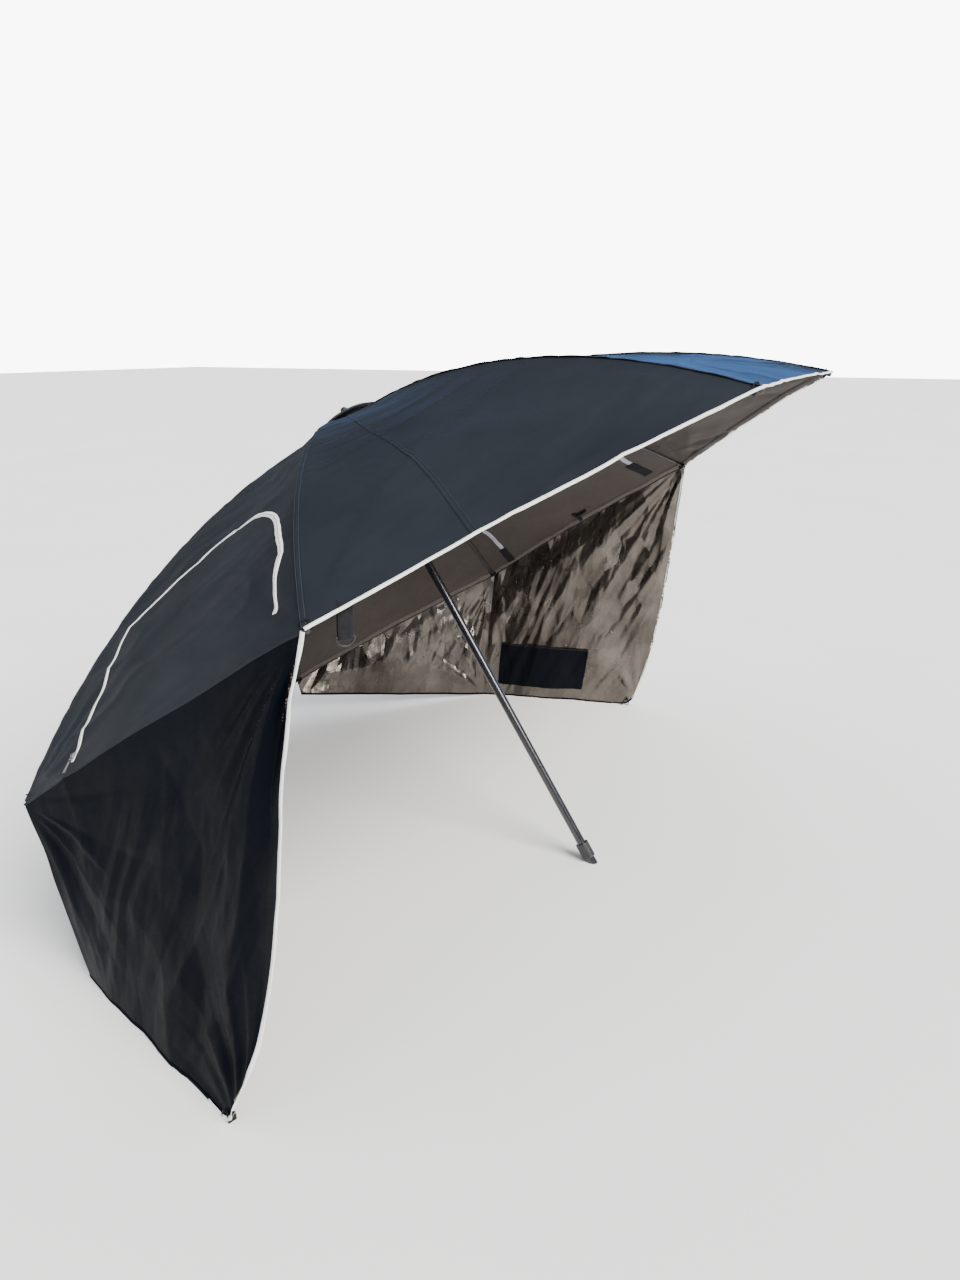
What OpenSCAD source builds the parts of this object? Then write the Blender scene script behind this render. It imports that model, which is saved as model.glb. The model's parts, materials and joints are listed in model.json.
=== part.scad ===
// Tilted eight-rib beach umbrella with side curtains, standing in the ground.
// World frame: origin where the pole's axis meets the ground, +Z up,
// +X level towards the open front, +Y to the far side. Millimetres.

/* [Canopy] */
// Lean of the pole away from the open front, in degrees
tilt = 32.8; // [20:0.1:40]
// Distance from the pole's axis to each rib's tip
rim_radius = 1220; // [1100:10:1300]
// Height of the fabric's apex over the plane of the rib tips
crown_rise = 560; // [480:10:620]
// Bow of each rib over the straight line from apex to tip
rib_bow = 110; // [80:5:130]
// Distance along the pole from the ground to the plane of the tips
rim_height = 909; // [880:1:960]
// Thickness of the canopy and curtain fabric
cloth = 0.8; // [0.6:0.1:2]

/* [Frame] */
// Diameter of the upper pole
pole_d = 25; // [22:0.5:32]
// Diameter of a rib
rib_d = 7; // [5:0.5:9]
// Diameter of a strut
strut_d = 6; // [5:0.5:7]
// Length of a strut between its two pivots
strut_length = 500; // [420:10:540]
// Distance from the pole's axis to the pivots on the crown hub and the runner
pivot_radius = 22; // [21:0.5:24]
// Distance from the fabric down to a rib's centre line
rib_drop = 8; // [7:0.5:10]

/* [Ground end] */
// Outer diameter of the lower tube
lower_tube_d = 30; // [29:0.5:36]
// Length of the lower tube below the ground
lower_tube_depth = 180; // [120:10:260]
// Diameter of the ground spike
spike_d = 24; // [18:1:26]
// Length of the spike below the lower tube
spike_length = 240; // [160:10:300]
// Diameter of the lock collar
collar_d = 38; // [36:1:44]

/* [Curtains] */
// Foot of the front edge of each side curtain: x, distance from the middle, height
front_foot = [-270, 1220, 0]; // [-1500:5:1500]
// Foot of the seam under each middle rib's tip
middle_foot = [-890, 1035, 0]; // [-1500:5:1500]
// Rear corner of each side curtain, just under the rear rib's tip
rear_foot = [-1410, 450, 112]; // [-1500:2:1500]
// Width and height of the pocket
pocket_size = [355, 174]; // [100:1:400]
// Where the pocket starts, as a share of the hem from the front edge
pocket_start = 0.36; // [0.1:0.01:0.4]

/* [Hidden] */
$fn = 48;
RIBS = [1:8];
CURTAINS = [2, 3, 6, 7];
HOODS = [1, 2, 5, 6];

navy = [0.12, 0.15, 0.2];
black = [0.03, 0.03, 0.035];
silver = [0.72, 0.72, 0.72];

// arc of the fabric over a rib, in the plane of the pole and the rib
chord = norm([rim_radius, crown_rise]);
arc_radius = (chord * chord / 4 + rib_bow * rib_bow) / (2 * rib_bow);
arc_centre = [rim_radius, crown_rise] / 2 - [crown_rise, rim_radius] / chord * (arc_radius - rib_bow);
crown_angle = atan2(crown_rise - arc_centre.y, -arc_centre.x);
rim_angle = atan2(-arc_centre.y, rim_radius - arc_centre.x);
rib_radius = arc_radius - rib_drop;
rib_start_angle = acos((pivot_radius - arc_centre.x) / rib_radius);
rib_end_angle = rim_angle + 0.6;
hub_pivot_z = rim_height + arc_centre.y + rib_radius * sin(rib_start_angle);
apex_z = rim_height + crown_rise;

// pivot between a rib and its strut, one strut length from the hub's pivot
strut_pivot_angle = rib_start_angle - 2 * asin(strut_length / 2 / rib_radius);
strut_pivot = [arc_centre.x + rib_radius * cos(strut_pivot_angle),
               rim_height + arc_centre.y + rib_radius * sin(strut_pivot_angle)];
runner_pivot_z = 2 * strut_pivot.y - hub_pivot_z;
strut_rise = atan2(strut_pivot.y - runner_pivot_z, strut_pivot.x - pivot_radius);
strut_side = 8.5;

neck_r = 14.5;
hub_r = 29;
hub_h = 12;
runner_r = 31;
button_r = 6;
slot_w = 9;
slot_floor_r = 15.2;
eye_r = 4.5;
eye_w = 8;
pin_r = 1.5;
pin_hole_r = 1.8;
slide_gap = 0.3;
pole_r = pole_d / 2;
joint_sleeve_r = 5;
canopy_start = 0.035;
canopy_rows = 14;
curtain_rows = 4;
seam_gap = 0.3;
hem_gap = 24;
// the window zips: how far down the gore their sliders rest, and where across it
zip_t = 0.965;
zip_lift = 4;
near_zip_w = 0.18;
far_zip_w = 0.88;
ring_wire_r = 2;
ring_r = 15.6;
tab_w = 25;
tab_drop = 34;

function azimuth(k) = 22.5 + 45 * (k - 1);
function fabric_arc(t, over) =
    let (a = crown_angle + (rim_angle - crown_angle) * t)
    [arc_centre.x + (arc_radius + over) * cos(a),
     rim_height + arc_centre.y + (arc_radius + over) * sin(a)];
// point on the fabric over rib k, t from 0 at the apex to 1 at the tip
function seam_point(k, t, over = 0) =
    let (q = fabric_arc(t, over))
    [q.x * cos(azimuth(k)), q.x * sin(azimuth(k)), q.y];
// point on the gore from rib k to the next, w from 0 to 1 across
function gore_point(k, t, w, over = 0) =
    seam_point(k, t, over) * (1 - w) + seam_point(k + 1, t, over) * w;
function half_share(t) =
    0.5 - seam_gap / (2 * sin(22.5) * fabric_arc(t, 0).x);
// from the frame along the pole to the world frame
function world(v) = [v.x * cos(tilt) - v.z * sin(tilt), v.y, v.x * sin(tilt) + v.z * cos(tilt)];
function tip(k) = world(seam_point(k, 1));
function foot(k) =
    let (row = [front_foot, middle_foot, rear_foot][min(k - 2, 7 - k)])
    [row.x, (k < 4.5 ? 1 : -1) * row.y, row.z];
// the other rib of the curtain that hangs from rib k
function partner(k) = k > 4 ? k - 1 : k + 1;
// point on the curtain of rib k: s across from 0 at rib k, v from 0 at the hem to 1 at the ground
function curtain_point(k, s, v) =
    let (j = partner(k),
         high = tip(k) * (1 - s) + tip(j) * s - [0, 0, hem_gap],
         low = foot(k) * (1 - s) + foot(j) * s)
    high * (1 - v) + low * v;
function inward(k) =
    let (m = (foot(k) + foot(partner(k))) / 2 - [-600, 0, 0])
    -m / norm(m);

module tilted() { rotate([0, -tilt, 0]) children(); }
module at_rib(k) { tilted() rotate([0, 0, azimuth(k)]) children(); }

// closed sheet between two grids of points with the same rows and columns
module sheet(top, under) {
    rows = len(top);
    cols = len(top[0]);
    count = rows * cols;
    points = [for (grid = [top, under]) for (row = grid) for (p = row) p];
    function quad(a, b, c, d) = [[a, c, b], [a, d, c]];
    faces = [
        for (i = [0:rows - 2]) for (j = [0:cols - 2])
            let (a = i * cols + j, b = a + 1, c = b + cols, d = a + cols)
            each concat(quad(a, d, c, b), quad(a + count, b + count, c + count, d + count)),
        for (i = [0:rows - 2])
            let (a = i * cols, d = a + cols, b = a + cols - 1, c = b + cols)
            each concat(quad(a, a + count, d + count, d), quad(b, c, c + count, b + count)),
        for (j = [0:cols - 2])
            let (a = j, b = j + 1, d = (rows - 1) * cols + j, c = d + 1)
            each concat(quad(a, b, b + count, a + count), quad(d, d + count, c + count, c))];
    polyhedron(points, faces, convexity = 6);
}

module ground_spike() {
    tip_length = 45;
    color(silver) tilted() translate([0, 0, -lower_tube_depth - spike_length]) {
        cylinder(d = spike_d, h = spike_length);
        translate([0, 0, -tip_length]) cylinder(r1 = 1, d2 = spike_d, h = tip_length);
    }
}

module lower_tube() {
    step_z = 10;
    neck_top = 40;
    floor_t = 8;
    color(black) tilted() difference() {
        union() {
            translate([0, 0, -lower_tube_depth])
                cylinder(d = lower_tube_d, h = lower_tube_depth + step_z);
            cylinder(r = neck_r, h = neck_top);
        }
        translate([0, 0, -lower_tube_depth + floor_t])
            cylinder(r = pole_r + slide_gap, h = lower_tube_depth + neck_top);
    }
}

module lock_collar() {
    base_z = 16;
    height = 46;
    step = 28;
    neck_gap = 0.4;
    flutes = 16;
    flute_r = 2;
    flute_end = 6;
    color(black) tilted() translate([0, 0, base_z]) difference() {
        cylinder(d = collar_d, h = height);
        translate([0, 0, -1]) cylinder(r = neck_r + neck_gap, h = step + 1);
        cylinder(r = pole_r + slide_gap, h = height + 1);
        for (n = [0:flutes - 1]) rotate([0, 0, n * 360 / flutes])
            translate([collar_d / 2 + 0.4 * flute_r, 0, flute_end])
                cylinder(r = flute_r, h = height - 2 * flute_end);
    }
}

module upper_pole() {
    pole_bottom = -150;
    wall = 1.4;
    color(black) tilted() difference() {
        translate([0, 0, pole_bottom]) cylinder(d = pole_d, h = hub_pivot_z + hub_h / 2 - pole_bottom);
        translate([0, 0, pole_bottom - 1])
            cylinder(r = pole_r - wall, h = hub_pivot_z - pole_bottom);
    }
}

// ring with eight radial slots, each with a pin across it
module slotted_ring(height, outer_r, side) {
    difference() {
        cylinder(r = outer_r, h = height, center = true);
        cylinder(r = pole_r + 0.1, h = height + 2, center = true);
        for (k = RIBS) rotate([0, 0, azimuth(k)])
            translate([slot_floor_r, side - slot_w / 2, -height]) cube([outer_r, slot_w, 2 * height]);
    }
    for (k = RIBS) rotate([0, 0, azimuth(k)])
        translate([pivot_radius, side, 0]) rotate([90, 0, 0])
            cylinder(r = pin_r, h = slot_w + 2, center = true);
}

module crown_hub() {
    color(black) tilted() translate([0, 0, hub_pivot_z]) slotted_ring(hub_h, hub_r, 0);
}

module crown_cap() {
    cap_r = 95;
    shoulder_r = 70;
    neck_top_r = 22;
    stem_r = 12;
    knob_r = 14;
    ball_r = 11;
    lift = 9;
    rim_h = 12;
    dome_h = 9;
    knob_h = 7;
    color(black) tilted() translate([0, 0, hub_pivot_z + hub_h / 2]) {
        cylinder(r = stem_r, h = lift + rim_h - 1);
        translate([0, 0, lift]) cylinder(r1 = cap_r, r2 = shoulder_r, h = rim_h);
        translate([0, 0, lift + rim_h]) cylinder(r1 = shoulder_r, r2 = neck_top_r, h = dome_h);
        translate([0, 0, lift + rim_h + dome_h]) cylinder(r = knob_r, h = knob_h);
        translate([0, 0, lift + rim_h + dome_h + knob_h]) sphere(r = ball_r);
    }
}

module runner() {
    sleeve_length = 100;
    sleeve_r = 19;
    ring_h = 14;
    button_drop = 40;
    color(black) tilted() translate([0, 0, runner_pivot_z]) {
        slotted_ring(ring_h, runner_r, strut_side);
        translate([0, 0, -ring_h / 2]) difference() {
            translate([0, 0, -sleeve_length]) cylinder(r = sleeve_r, h = sleeve_length);
            translate([0, 0, -sleeve_length - 1]) cylinder(r = pole_r + slide_gap, h = sleeve_length + 2);
            translate([0, 0, -button_drop]) rotate([0, 90, 0])
                cylinder(r = button_r + slide_gap, h = button_drop);
        }
    }
}

module runner_button() {
    inner_end = 16;
    below_pivot = 47;
    length = 6.5;
    color(black) tilted() translate([inner_end, 0, runner_pivot_z - below_pivot]) rotate([0, 90, 0])
        cylinder(r = button_r, h = length);
}

module rib(k) {
    sleeve_angle = 0.2;
    eye_angle = 0.12;
    arc_steps = 720;
    round_steps = 48;
    color(black) at_rib(k) {
        translate([arc_centre.x, 0, rim_height + arc_centre.y]) rotate([90, 0, 0]) {
            rotate([0, 0, rib_end_angle])
                rotate_extrude(angle = rib_start_angle - eye_angle - rib_end_angle, $fn = arc_steps)
                    translate([rib_radius, 0]) circle(d = rib_d, $fn = round_steps);
            rotate([0, 0, strut_pivot_angle - sleeve_angle])
                rotate_extrude(angle = 2 * sleeve_angle, $fn = arc_steps)
                    translate([rib_radius, 0]) circle(r = joint_sleeve_r, $fn = round_steps);
        }
        translate([pivot_radius, 0, hub_pivot_z]) rotate([90, 0, 0]) difference() {
            cylinder(r = eye_r, h = eye_w, center = true);
            cylinder(r = pin_hole_r, h = eye_w + 2, center = true);
        }
    }
}

module rib_tip(k) {
    cap_r = 5.5;
    cap_length = 34;
    socket = 20;
    q = [arc_centre.x + rib_radius * cos(rib_end_angle),
         rim_height + arc_centre.y + rib_radius * sin(rib_end_angle)];
    color(black) at_rib(k) translate([q.x, 0, q.y]) rotate([0, 180 - rib_end_angle, 0])
        translate([0, 0, -socket]) difference() {
            union() {
                cylinder(r = cap_r, h = cap_length);
                translate([0, 0, cap_length]) sphere(r = cap_r);
            }
            translate([0, 0, -1]) cylinder(r = rib_d / 2 + 0.3, h = socket + 1.3);
        }
}

module strut(k) {
    end_r = 4.5;
    end_w = 3;
    color(black) at_rib(k) translate([pivot_radius, strut_side, runner_pivot_z])
        rotate([0, -strut_rise, 0]) {
            difference() {
                union() {
                    rotate([90, 0, 0]) cylinder(r = eye_r, h = eye_w, center = true);
                    rotate([0, 90, 0]) cylinder(d = strut_d, h = strut_length);
                }
                rotate([90, 0, 0]) cylinder(r = pin_hole_r, h = eye_w + 2, center = true);
            }
            translate([strut_length, 0, 0]) rotate([90, 0, 0])
                cylinder(r = end_r, h = end_w, center = true);
        }
}

module canopy(k) {
    function row(t, over) =
        [gore_point(k - 1, t, 1 - half_share(t), over), seam_point(k, t, over),
         gore_point(k, t, half_share(t), over)];
    ts = [for (i = [0:canopy_rows]) canopy_start + (1 - canopy_start) * i / canopy_rows];
    color(navy) tilted()
        sheet([for (t = ts) row(t, cloth / 2)], [for (t = ts) row(t, -cloth / 2)]);
}

module curtain(k) {
    columns = 4;
    end_share = 0.001;
    flip = k > 4;
    ss = [for (j = [0:columns])
        let (s = end_share + (1 - 2 * end_share) * j / columns) flip ? 1 - s : s];
    vs = [for (i = [0:curtain_rows]) i / curtain_rows];
    color(navy)
        sheet([for (v = vs) [for (s = ss) curtain_point(k, s, v)]],
              [for (v = vs) [for (s = ss) curtain_point(k, s, v) + inward(k) * cloth]]);
}

// one half of a wind vent's hood: it stands over the gore and is open towards the rim
module vent_hood(k) {
    side = k == 1 || k == 5 ? 1 : -1;
    first = 0.12;
    last = 0.33;
    steps = 6;
    lift = 26;
    skin = 2;
    function share(n) = side > 0 ? [0.16, 0.32, 0.495][n] : [0.505, 0.68, 0.84][n];
    function over(n, i) = 3 + lift * (i / steps) * (side > 0 ? n / 2 : 1 - n / 2);
    gore = side > 0 ? k : k - 1;
    ts = [for (i = [0:steps]) first + (last - first) * i / steps];
    function grid(extra) = [for (i = [0:steps]) [for (n = [0:2])
        gore_point(gore, ts[i], share(n), over(n, i) + extra)]];
    color(black) tilted() sheet(grid(skin), grid(0));
}

// frame on the outside of a gore, x down the slope and y along the hem's direction
module on_gore(k, t, w) {
    a = azimuth(k) + 22.5;
    g = gore_point(k, t, w);
    below = gore_point(k, t + 0.01, w);
    fall = atan2(g.z - below.z, norm([below.x - g.x, below.y - g.y]));
    tilted() translate(g) rotate([0, 0, a]) rotate([0, fall, 0]) children();
}

module zip_slider(k, w) {
    color(silver) on_gore(k, zip_t, w) translate([0, 0, zip_lift]) {
        difference() {
            hull() {
                translate([-6, -4, -2]) cube([2, 8, 4]);
                translate([5, -3, -2]) cube([2, 6, 4]);
            }
            rotate([90, 0, 0]) cylinder(r = 1, h = 20, center = true);
        }
        translate([-3, 0, 2]) cube([4, 2, 2], center = true);
    }
}

module zip_pull(k, w) {
    color(silver) on_gore(k, zip_t, w) translate([0, 0, zip_lift]) {
        rotate([90, 0, 0]) cylinder(r = 0.8, h = 12, center = true);
        for (y = [-5.2, 5.2]) translate([0, y - 0.8, -0.8]) cube([12, 1.6, 1.6]);
        translate([12, -6, -0.8]) cube([26, 12, 1.6]);
    }
}

// the tie ring hangs inside the front gore's hem, beside the near rib tip
module at_ring() {
    ring_share = 0.92;
    below_hem = [-8, 5, -16];
    hem = tip(8) - tip(7);
    p = tip(7) * ring_share + tip(8) * (1 - ring_share);
    translate(p + below_hem) rotate([0, 0, atan2(hem.y, hem.x)]) children();
}

module ring_tab() {
    color(black) at_ring() difference() {
        union() {
            translate([-tab_w / 2, -1, -tab_drop]) cube([tab_w, 2, tab_drop]);
            translate([-tab_w / 2, 0, -tab_drop]) rotate([0, 90, 0]) cylinder(r = 2 * ring_wire_r, h = tab_w);
        }
        translate([-tab_w / 2 - 1, 0, -tab_drop]) rotate([0, 90, 0])
            cylinder(r = ring_wire_r + 0.4, h = tab_w + 2);
    }
}

module tie_ring() {
    color(black) at_ring() translate([0, 0, -tab_drop]) {
        rotate([0, 90, 0]) cylinder(r = ring_wire_r, h = 2 * ring_r, center = true);
        rotate([90, 0, 0]) rotate([0, 0, 180]) rotate_extrude(angle = 180)
            translate([ring_r, 0]) circle(r = ring_wire_r);
    }
}

module pocket() {
    pocket_end = pocket_start + pocket_size.x / norm(foot(3) - foot(2));
    base_z = 52;
    clear = 7;
    bag = 3;
    columns = 4;
    function point(s, z, depth) =
        curtain_point(2, s, 1 - z / (tip(2) * (1 - s) + tip(3) * s - [0, 0, hem_gap]).z)
        + inward(2) * depth;
    function grid(depth) = [for (z = [base_z, base_z + pocket_size.y / 2, base_z + pocket_size.y])
        [for (j = [0:columns]) point(pocket_start + (pocket_end - pocket_start) * j / columns, z, depth)]];
    color(black) sheet(grid(cloth + clear + bag), grid(cloth + clear));
}

// a peg loop at the front corner, cut off flat where it meets the ground
module corner_loop(k) {
    size = 26;
    band = 4;
    width = 6;
    from_corner = 34;
    inside = 8;
    centre_z = 3;
    ground_z = 1;
    along = foot(partner(k)) - foot(k);
    seat = foot(k) + from_corner * along / norm(along) + inside * inward(k) + [0, 0, centre_z];
    color(black) translate(seat) rotate([0, 0, atan2(along.y, along.x)]) rotate([90, 0, 0]) difference() {
        cylinder(d = size, h = width, center = true);
        cylinder(d = size - 2 * band, h = width + 2, center = true);
        translate([0, ground_z - centre_z - size, 0]) cube(2 * [size, size, size], center = true);
    }
}

ground_spike();
lower_tube();
lock_collar();
upper_pole();
crown_hub();
crown_cap();
runner();
runner_button();
for (k = RIBS) {
    rib(k);
    rib_tip(k);
    strut(k);
    canopy(k);
}
for (k = CURTAINS) curtain(k);
for (k = HOODS) vent_hood(k);
zip_slider(6, near_zip_w);  // zip_slider_near
zip_slider(2, far_zip_w);  // zip_slider_far
zip_pull(6, near_zip_w);  // zip_pull_near
zip_pull(2, far_zip_w);  // zip_pull_far
ring_tab();
tie_ring();
pocket();
corner_loop(7);  // corner_loop_near
corner_loop(2);  // corner_loop_far
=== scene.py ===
"""Visual model of a tilted beach umbrella with side curtains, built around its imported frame. Metres.

The fabric is made from the same dimensions as the frame's soft solids: gore k lies between ribs k and k + 1,
t runs from 0 at the apex to 1 at the rib tips, and w runs from 0 to 1 across a gore.
"""
import json
import math

import bpy
import numpy as np
from mathutils import Matrix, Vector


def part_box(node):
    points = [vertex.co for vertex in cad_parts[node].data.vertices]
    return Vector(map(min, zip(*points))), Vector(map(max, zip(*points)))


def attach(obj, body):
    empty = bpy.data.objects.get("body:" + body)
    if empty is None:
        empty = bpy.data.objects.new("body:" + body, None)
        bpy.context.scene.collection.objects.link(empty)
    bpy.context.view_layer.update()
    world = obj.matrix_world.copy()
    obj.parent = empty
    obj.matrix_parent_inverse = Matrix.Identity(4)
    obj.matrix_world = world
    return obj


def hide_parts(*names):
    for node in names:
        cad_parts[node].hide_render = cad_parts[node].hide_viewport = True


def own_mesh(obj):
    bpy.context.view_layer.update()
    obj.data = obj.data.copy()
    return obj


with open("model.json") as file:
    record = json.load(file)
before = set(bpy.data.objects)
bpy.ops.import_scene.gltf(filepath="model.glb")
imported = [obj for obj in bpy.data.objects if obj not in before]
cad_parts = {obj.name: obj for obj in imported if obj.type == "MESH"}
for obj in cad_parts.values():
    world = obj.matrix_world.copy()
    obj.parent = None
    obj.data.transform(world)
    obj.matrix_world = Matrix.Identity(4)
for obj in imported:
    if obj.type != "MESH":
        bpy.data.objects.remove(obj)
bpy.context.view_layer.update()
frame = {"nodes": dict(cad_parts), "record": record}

JOINTS = {joint["name"]: joint for joint in frame["record"]["behaviour"]["joints"]}

# ---------- dimensions
TILT = math.radians(32.8)
RIM_RADIUS = 1.220
CROWN_RISE = 0.560
RIB_BOW = 0.110
RIM_HEIGHT = 0.909
CLOTH = 0.0008
CANOPY_START = 0.035
FRONT_FOOT = (-0.270, 1.220, 0.0)
MIDDLE_FOOT = (-0.890, 1.035, 0.0)
REAR_FOOT = (-1.410, 0.450, 0.112)
NEAR_WINDOW, FAR_WINDOW = 6, 2
NEAR_ZIP_W, FAR_ZIP_W, ZIP_T = 0.18, 0.88, 0.965
POCKET_START, POCKET_WIDTH, POCKET_BASE, POCKET_TOP = 0.36, 0.355, 0.052, 0.226
FIRST_RIB, RIB_STEP = 22.5, 45
HALF_GORE = math.pi / 8

# heights of the canopy's relief
GORE_SAG, SOFT_WAVES = 0.016, 0.0034
FINE_STREAKS, SHARP_STREAKS, CREASES = 0.0030, 0.0034, 0.0040
CORNER_PULLS, PLEATS = 0.0048, 0.0060
SEAM_PUCKER, HEM_PUCKER = 0.0009, 0.0008
HEM_CURVE = 0.010

# the curtains' sweep at the open front, and the depths of their folds
FRONT_BOW, FRONT_CORNER = 0.036, 0.075
HOLLOW, SEAM_SWAY = 0.022, 0.010
LARGE_FOLDS, MIDDLE_FOLDS, SMALL_FOLDS = 0.011, 0.0050, 0.0017
GROUND_GAP = 0.0015

U = np.array([math.cos(TILT), 0.0, math.sin(TILT)])
Y = np.array([0.0, 1.0, 0.0])
POLE = np.array([-math.sin(TILT), 0.0, math.cos(TILT)])
INSIDE = np.array([-0.55, 0.0, 0.45])
CAMERA_PLACE = np.array([0.777, -2.213, 1.454])
RIBS = range(1, 9)
CURTAINS = (2, 3, 6, 7)
FRONT_CURTAINS = (2, 7)
FRONT_GORES = (7, 8, 1)

chord = math.hypot(RIM_RADIUS, CROWN_RISE)
arc_radius = (chord * chord / 4 + RIB_BOW * RIB_BOW) / (2 * RIB_BOW)
arc_x = RIM_RADIUS / 2 - CROWN_RISE / chord * (arc_radius - RIB_BOW)
arc_z = CROWN_RISE / 2 - RIM_RADIUS / chord * (arc_radius - RIB_BOW)
crown_angle = math.atan2(CROWN_RISE - arc_z, -arc_x)
rim_angle = math.atan2(-arc_z, RIM_RADIUS - arc_x)


def azimuth(k):
    return math.radians(FIRST_RIB + RIB_STEP * (k - 1))


def outward(k):
    return math.cos(azimuth(k)) * U + math.sin(azimuth(k)) * Y


def sideways(k):
    """Direction of rib k's hinge axis, across the rib."""
    return -math.sin(azimuth(k)) * U + math.cos(azimuth(k)) * Y


def profile(t):
    """Radius from the pole's axis and height along it of the fabric over a rib."""
    angle = crown_angle + (rim_angle - crown_angle) * np.asarray(t, float)
    return arc_x + arc_radius * np.cos(angle), RIM_HEIGHT + arc_z + arc_radius * np.sin(angle)


def gore_width(radius):
    return 2 * radius * math.sin(HALF_GORE)


def next_rib(k):
    """The rib after rib k, counted from 1 to 8."""
    return k % 8 + 1


def ruled_point(k, t, w):
    """Point on the straight surface between the two ribs of gore k."""
    radius, height = profile(t)
    across = (1 - np.asarray(w))[..., None] * outward(k) + np.asarray(w)[..., None] * outward(k + 1)
    return np.asarray(radius)[..., None] * across + np.asarray(height)[..., None] * POLE


def gore_normal(k, t):
    """Outward normal at the middle of gore k."""
    middle = math.cos(azimuth(k) + HALF_GORE) * U + math.sin(azimuth(k) + HALF_GORE) * Y
    step = 0.01
    low, high = profile(np.asarray(t) - step), profile(np.asarray(t) + step)
    run, fall = (high[0] - low[0]) * math.cos(HALF_GORE), low[1] - high[1]
    length = np.hypot(run, fall)
    return (fall / length)[..., None] * middle + (run / length)[..., None] * POLE


def tip(k):
    return ruled_point(k, 1.0, np.float64(0.0))


def foot(k):
    x, y, z = (FRONT_FOOT, MIDDLE_FOOT, REAR_FOOT)[min(k - 2, 7 - k)]
    return np.array([x, y if k < 4.5 else -y, z])


def partner(k):
    """The other rib of the curtain that hangs from rib k."""
    return k - 1 if k > 4 else k + 1


# ---------- noise
def smooth(x):
    return x * x * (3 - 2 * x)


def lattice(i, j, seed):
    """A repeatable number from 0 to 1 for each whole-number cell."""
    n = (np.asarray(i, np.int64) * 73856093) ^ (np.asarray(j, np.int64) * 19349663) ^ (seed * 83492791)
    n = (n ^ (n >> 13)) & 0xFFFFFF
    n = ((n * 7919) ^ (n >> 7)) & 0xFFFFFF
    n = ((n * 104729) ^ (n >> 11)) & 0xFFFFFF
    return n / 0xFFFFFF


def noise(x, y, seed=0):
    """Smooth noise from -1 to 1 with cells of size 1."""
    i, j = np.floor(x), np.floor(y)
    fx, fy = smooth(x - i), smooth(y - j)
    a, b = lattice(i, j, seed), lattice(i + 1, j, seed)
    c, d = lattice(i, j + 1, seed), lattice(i + 1, j + 1, seed)
    return 2 * ((a * (1 - fx) + b * fx) * (1 - fy) + (c * (1 - fx) + d * fx) * fy) - 1


def layered(x, y, seed=0, octaves=3):
    total, weight = np.zeros_like(x), 1.0
    for n in range(octaves):
        total += weight * noise(x * 2**n + 17 * n, y * 2**n - 9 * n, seed + n)
        weight *= 0.5
    return total


def facets(x, y, seed=0):
    """Flat triangles between random heights from -1 to 1, like crumpled foil."""
    i, j = np.floor(x), np.floor(y)
    fx, fy = x - i, y - j
    a, b = lattice(i, j, seed), lattice(i + 1, j, seed)
    c, d = lattice(i, j + 1, seed), lattice(i + 1, j + 1, seed)
    return 2 * np.where(fx > fy, a + (b - a) * fx + (d - b) * fy, a + (c - a) * fy + (d - c) * fx) - 1


def ridges(x, y, seed=0):
    """Thin crease lines, from 0 between them to 1 on them."""
    return (1 - np.abs(noise(x, y, seed))) ** 9


# ---------- fabric shapes
def canopy_relief(k, t, w):
    """Height of the fabric over the straight gore, along the gore's normal."""
    k = next_rib(k - 1)
    width = gore_width(profile(t)[0])
    down = t * chord
    across = w * width
    edge = np.minimum(w, 1 - w) * width
    sag = -GORE_SAG * (4 * w * (1 - w)) * np.sin(np.pi * np.clip(t, 0, 1)) ** 0.7
    clear = np.clip(edge / 0.06, 0, 1) * np.clip((t - 0.06) / 0.15, 0, 1)
    seed = 10 * k
    soft = SOFT_WAVES * layered(across * 3.1, down * 4.6, seed)
    lean = across * 0.35 if k in FRONT_GORES else -across * 0.3
    calm = 0.5 + 0.5 * noise(across * 2.2, down * 2.6, seed + 2)
    streaks = FINE_STREAKS * calm * layered(across * 3.5, (down + lean) * 19, seed + 3, 2)
    sharp = np.abs(noise(across * 4.2, (down - 0.5 * lean) * 26, seed + 5)) ** 0.6
    streaks += SHARP_STREAKS * calm * sharp
    streaks += CREASES * ridges(across * 2.1 + 3, (down + 0.8 * lean) * 8, seed + 13)
    pulls = 0.0
    for corner, side in enumerate((across, width - across)):
        reach = np.hypot(side, (1 - t) * chord) + 1e-6
        angle = np.arctan2(side, (1 - t) * chord + 1e-6)
        pulls = pulls + CORNER_PULLS * np.exp(-reach / 0.28) * np.clip(reach / 0.12, 0, 1) * np.clip(
            (1 - t) * chord / 0.07, 0, 1) * noise(angle * 7, reach * 1.5, seed + 7 + corner)
    pucker = SEAM_PUCKER * np.exp(-edge / 0.02) * noise(down * 42, edge * 20, seed + 9)
    hem = HEM_PUCKER * np.exp(-(1 - t) * chord / 0.012) * noise(across * 55, down * 3, seed + 11)
    pleats = 0.0
    if k in (7, 1):
        side = across if k == 7 else width - across
        beside_rib = np.exp(-((side / 0.17) ** 2))
        half_way = np.exp(-(((t - 0.46) / 0.20) ** 2))
        folds = np.abs(noise(side * 2.4, (down + 0.12 * side) * 30, seed + 15)) ** 0.8
        pleats = PLEATS * beside_rib * half_way * np.clip(side / 0.012, 0, 1) * folds
    return sag + clear * (soft + streaks + pulls) + pleats + pucker * np.clip((t - 0.08) * 8, 0, 1) + hem


def hem_limit(w):
    """The hem curves in a little between the rib tips."""
    return 1 - HEM_CURVE * 4 * w * (1 - w)


def canopy_point(k, t, w, over=0.0):
    t, w = np.broadcast_arrays(np.asarray(t, float), np.asarray(w, float))
    t = t * (1 - (1 - hem_limit(w)) * t)
    height = canopy_relief(k, t, w) + over
    return ruled_point(k, t, w) + height[..., None] * gore_normal(k, t)


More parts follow.
